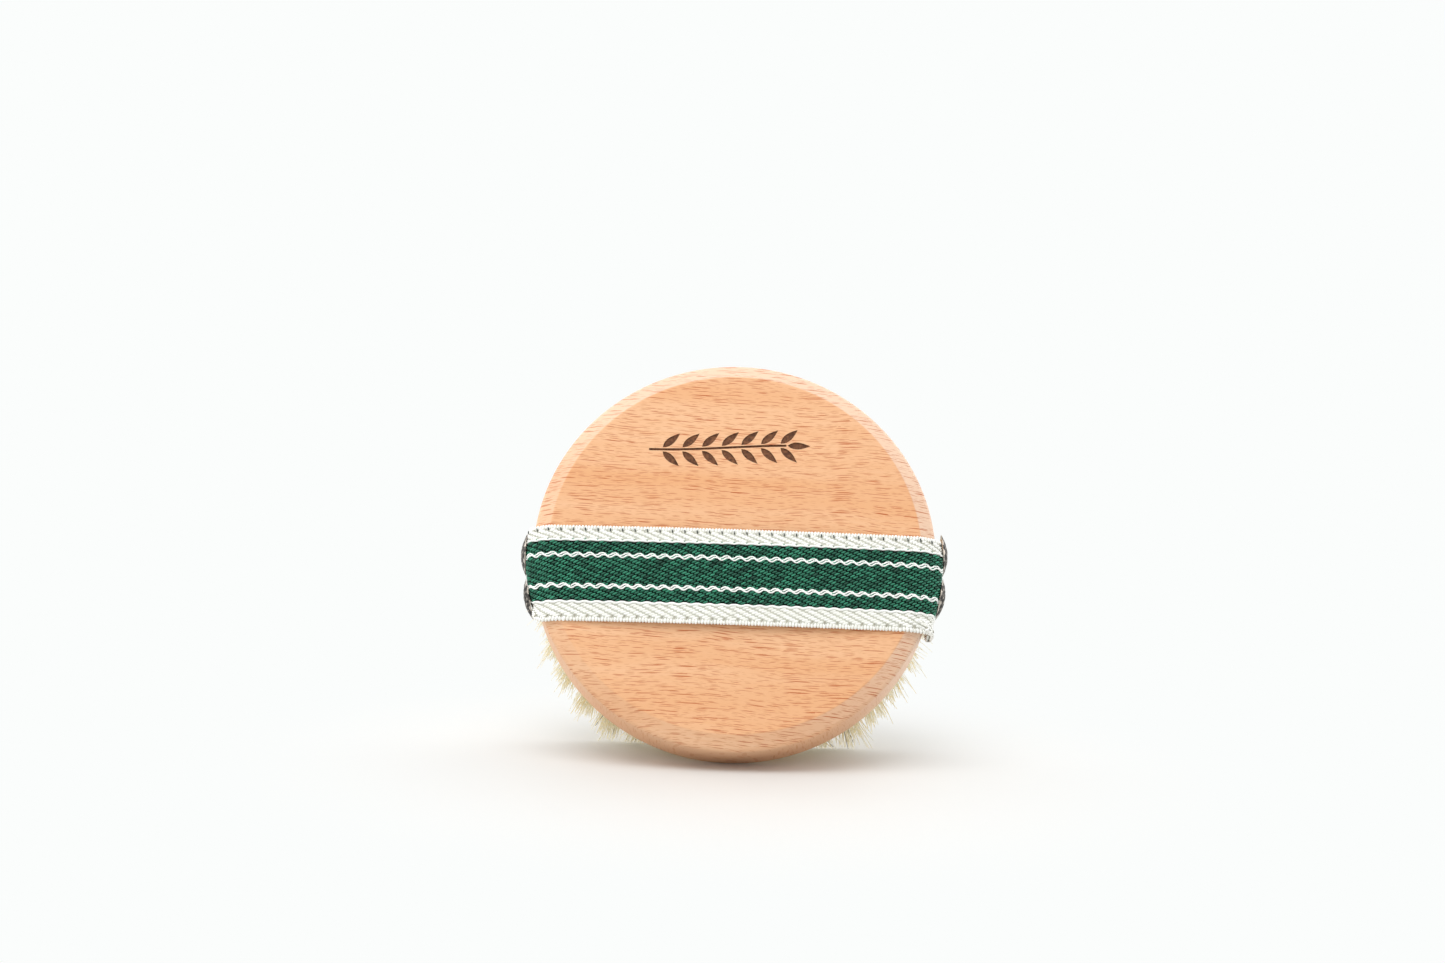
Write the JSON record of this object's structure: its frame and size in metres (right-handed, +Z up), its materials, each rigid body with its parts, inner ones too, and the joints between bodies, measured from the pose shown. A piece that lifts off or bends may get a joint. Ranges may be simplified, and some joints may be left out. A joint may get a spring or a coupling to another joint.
{
  "type": "body dry brush",
  "caption": "Round wooden palm brush with natural bristle tufts on its back and a woven hand strap tacked across its face, standing and leaning back.",
  "frame": {"origin": "on the surface that the brush stands on, under the middle of its bounding box", "axes": "+Z up; the strap face looks along -Y and the bristles along +Y; +X runs along the strap, to the right of someone who looks at the strap face"},
  "size_m": [0.1093, 0.0742, 0.098],
  "materials": {
    "beech": "fine sanded beech, oiled, satin",
    "webbing": "woven webbing, green with ivory edges and two ivory zigzag threads",
    "tack_cap": "antique bronze, hammered",
    "nail_steel": "plain steel wire",
    "bristle": "natural cream hair, matt",
    "anchor_wire": "flat galvanised wire"
  },
  "bodies": {
    "root": {"wooden_body": "beech", "hand_strap": "webbing", "left_upper_tack_cap": "tack_cap", "left_lower_tack_cap": "tack_cap", "right_upper_tack_cap": "tack_cap", "right_lower_tack_cap": "tack_cap", "left_upper_tack_nail": "nail_steel", "left_lower_tack_nail": "nail_steel", "right_upper_tack_nail": "nail_steel", "right_lower_tack_nail": "nail_steel", "bristle_tuft_middle": "bristle", "bristle_tufts_ring_1": "bristle", "bristle_tufts_ring_2": "bristle", "bristle_tufts_ring_3": "bristle", "bristle_tufts_ring_4": "bristle", "bristle_tufts_ring_5": "bristle", "bristle_tufts_ring_6": "bristle", "wire_anchor_middle": "anchor_wire", "wire_anchors_ring_1": "anchor_wire", "wire_anchors_ring_2": "anchor_wire", "wire_anchors_ring_3": "anchor_wire", "wire_anchors_ring_4": "anchor_wire", "wire_anchors_ring_5": "anchor_wire", "wire_anchors_ring_6": "anchor_wire"}
  },
  "joints": []
}
